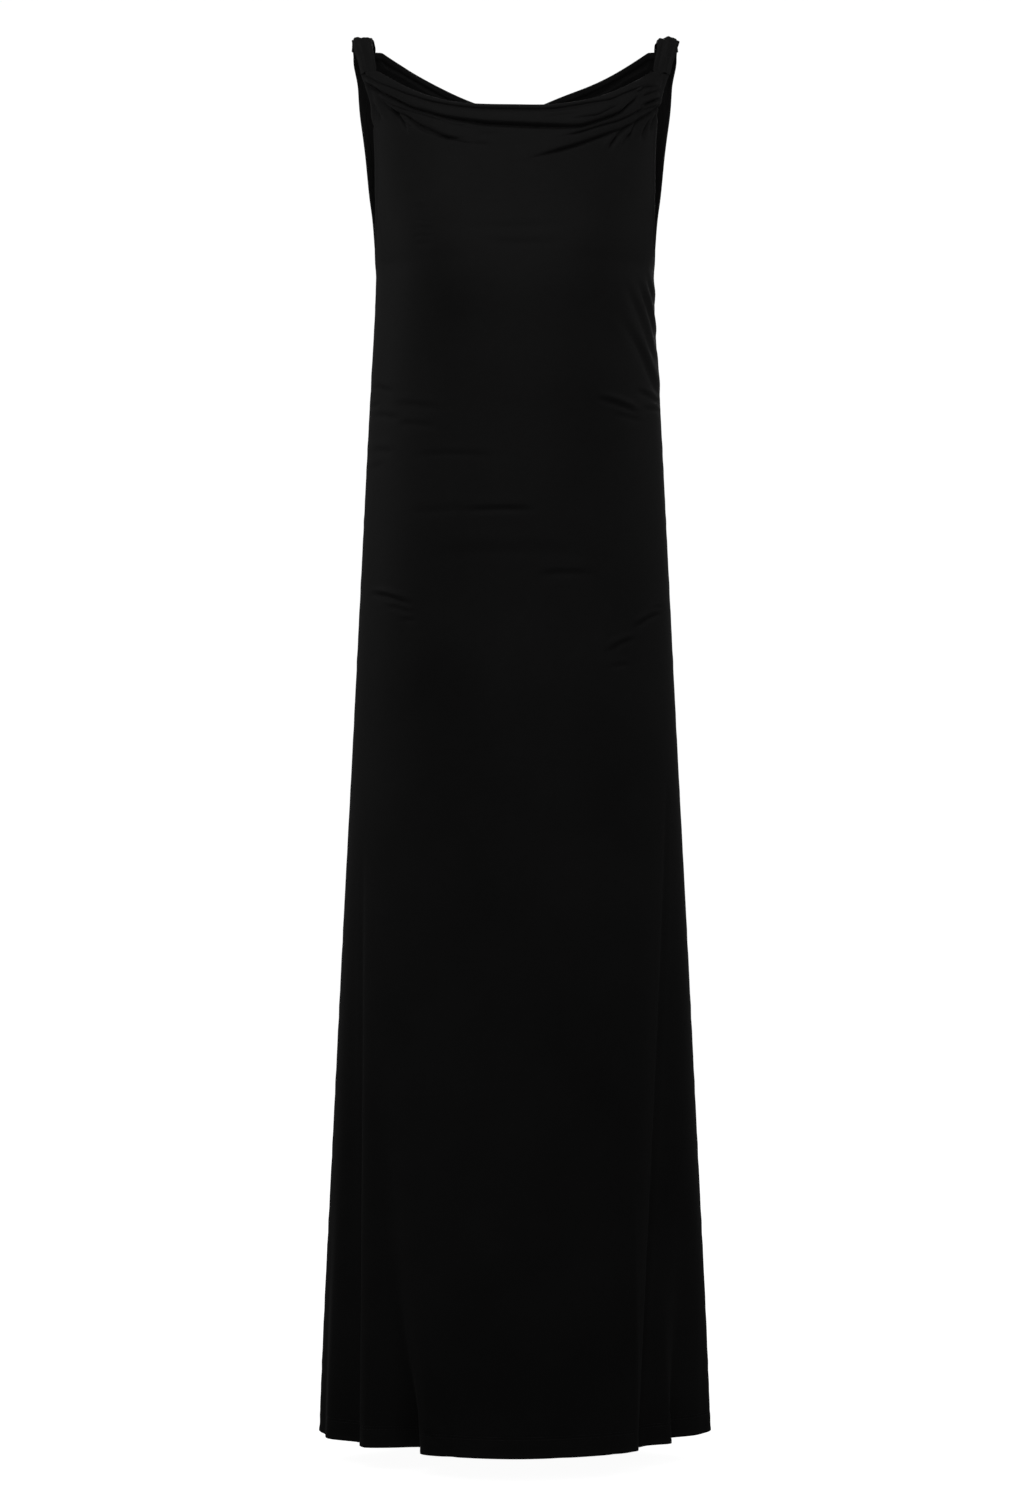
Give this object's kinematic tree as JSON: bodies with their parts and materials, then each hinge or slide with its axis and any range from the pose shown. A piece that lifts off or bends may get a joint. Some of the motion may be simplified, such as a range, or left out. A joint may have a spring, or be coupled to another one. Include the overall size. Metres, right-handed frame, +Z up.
{
  "type": "maxi dress",
  "caption": "Sleeveless floor-length jersey dress with a draped cowl front, narrow shoulder straps, deep armholes and an A-line skirt with soft flutes, filled out as worn.",
  "frame": {"origin": "midway between the two shoulders, level with the underside of the shoulder straps, in the plane of the side seams, where the wearer carries the dress", "axes": "+Z up along the dress, the front faces -Y, +X towards the wearer's left"},
  "size_m": [0.4041, 0.2698, 1.439],
  "materials": {
    "jersey": "black fine-gauge viscose jersey, soft matt with a faint sheen"
  },
  "bodies": {
    "root": {"front_panel": "jersey", "back_panel": "jersey", "shoulder_strap_left": "jersey", "shoulder_strap_right": "jersey"}
  },
  "joints": []
}
